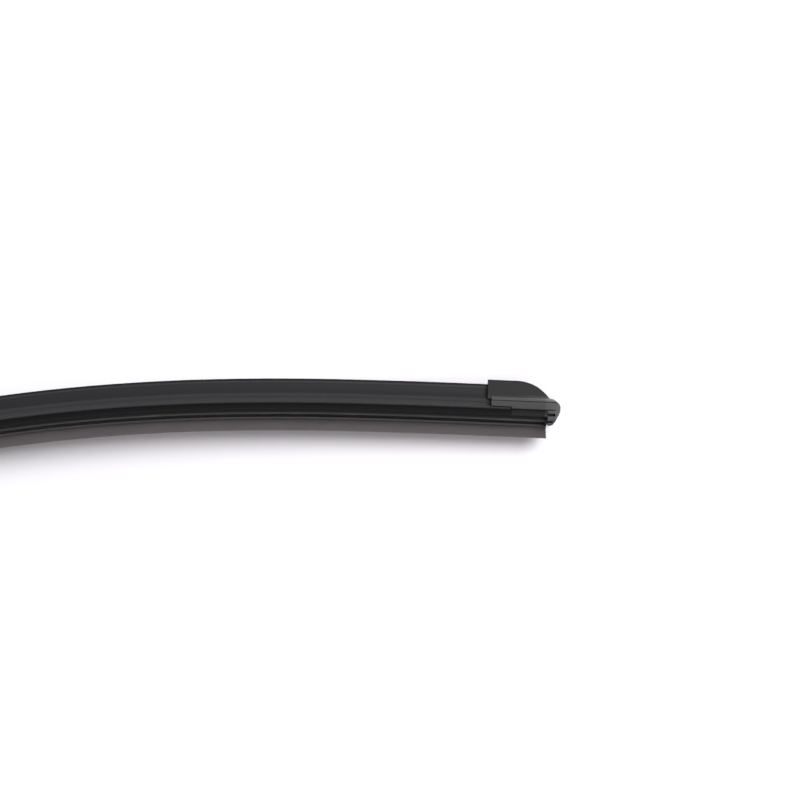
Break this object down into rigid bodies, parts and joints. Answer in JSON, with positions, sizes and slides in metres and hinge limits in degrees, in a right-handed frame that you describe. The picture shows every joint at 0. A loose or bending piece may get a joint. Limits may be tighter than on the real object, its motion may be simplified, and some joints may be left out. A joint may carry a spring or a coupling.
{
  "type": "wiper blade",
  "caption": "Flat bowed windscreen wiper blade with rubber squeegee, steel rails, clip-on spoiler, end caps and a pivoting hook adapter.",
  "frame": {"origin": "on the pivot pin's axis, in the middle of the blade, where the arm's hook is centred", "axes": "+X along the blade, +Y across it, +Z away from the glass"},
  "size_m": [0.6072, 0.0196, 0.0642],
  "materials": {
    "wiping_rubber": "matt, graphite coated",
    "rail_steel": "black coated spring steel",
    "spoiler_elastomer": "satin",
    "cap_plastic": "fine moulded grain",
    "base_steel": "black coated",
    "cover_plastic": "fine moulded grain",
    "pin_steel": "zinc plated",
    "sleeve_plastic": "natural acetal",
    "adapter_plastic": "black acetal"
  },
  "bodies": {
    "adapter": {"hook_adapter": "adapter_plastic"},
    "blade": {"squeegee": "wiping_rubber", "rail_front": "rail_steel", "rail_rear": "rail_steel", "spoiler_left": "spoiler_elastomer", "spoiler_right": "spoiler_elastomer", "end_cap_left": "cap_plastic", "end_cap_right": "cap_plastic", "connector_base": "base_steel", "connector_cover": "cover_plastic", "pivot_pin": "pin_steel", "pin_sleeve": "sleeve_plastic"}
  },
  "joints": [
    {"name": "blade_swing", "type": "hinge", "parent": "adapter", "child": "blade", "pos_m": [0, 0, 0], "axis": [0, 1, 0], "range_deg": [-15, 15]}
  ]
}
